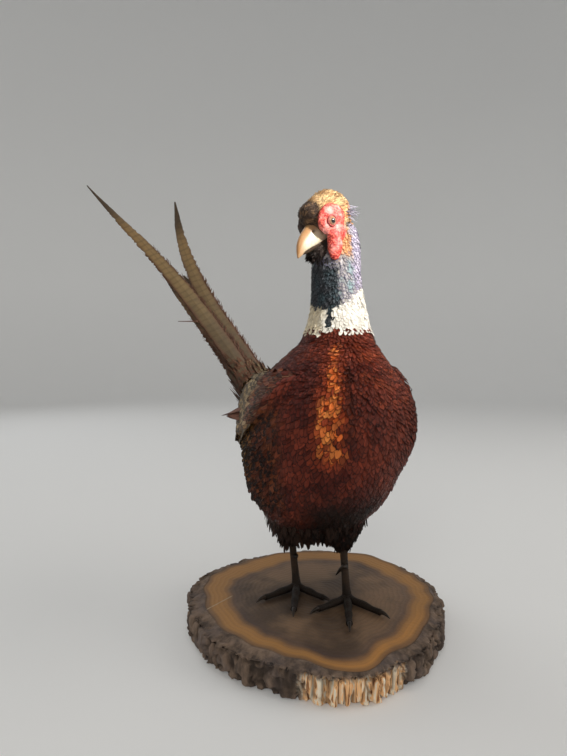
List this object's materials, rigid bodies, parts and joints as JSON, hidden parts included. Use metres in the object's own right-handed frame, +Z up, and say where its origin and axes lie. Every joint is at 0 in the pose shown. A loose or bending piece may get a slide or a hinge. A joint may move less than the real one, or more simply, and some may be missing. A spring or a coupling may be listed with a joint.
{
  "type": "taxidermy pheasant",
  "caption": "Mounted cock pheasant standing upright with raised tail on a bark-edged slice of tree trunk.",
  "frame": {"origin": "centre of the tree slice's flat underside", "axes": "+Z up; the bird's trunk faces -Y, so its right side is -X"},
  "size_m": [0.3256, 0.5735, 0.5282],
  "materials": {
    "wood": "sawn end grain with a band of orange sapwood and rough grey-brown bark",
    "bill": "horn coloured, semi-gloss",
    "eye": "polished glass with an amber iris",
    "wattle": "bare red pimpled skin, matt",
    "claw": "dark horn, satin",
    "leg_skin": "dry grey-brown scaled skin",
    "tail_feathers": "olive-buff vanes with narrow dark bars",
    "wing_feathers": "buff and grey-brown vanes",
    "collar_feathers": "short white feathers",
    "head_feathers": "short glossy blue-black feathers, bronze on the crown",
    "body_feathers": "copper chestnut feathers with dark edges"
  },
  "bodies": {
    "root": {"tree_slice": "wood", "collar": "collar_feathers", "head": "head_feathers", "upper_bill": "bill", "lower_bill": "bill", "wattle_right": "wattle", "eye_right": "eye", "ear_tuft_right": "head_feathers", "wattle_left": "wattle", "eye_left": "eye", "ear_tuft_left": "head_feathers", "neck": "head_feathers", "foot_right": "leg_skin", "claw_inner_right": "claw", "claw_middle_right": "claw", "claw_outer_right": "claw", "claw_hind_right": "claw", "shank_right": "leg_skin", "spur_right": "claw", "foot_left": "leg_skin", "claw_inner_left": "claw", "claw_middle_left": "claw", "claw_outer_left": "claw", "claw_hind_left": "claw", "shank_left": "leg_skin", "spur_left": "claw", "tail_coverts": "tail_feathers", "tail_central_right": "tail_feathers", "tail_central_left": "tail_feathers", "tail_side_1_right": "tail_feathers", "tail_side_1_left": "tail_feathers", "tail_side_2_right": "tail_feathers", "tail_side_2_left": "tail_feathers", "tail_side_3_right": "tail_feathers", "tail_side_3_left": "tail_feathers", "tail_side_4_right": "tail_feathers", "tail_side_4_left": "tail_feathers", "trunk": "body_feathers", "thigh_right": "body_feathers", "wing_right": "wing_feathers", "thigh_left": "body_feathers", "wing_left": "wing_feathers"}
  },
  "joints": []
}
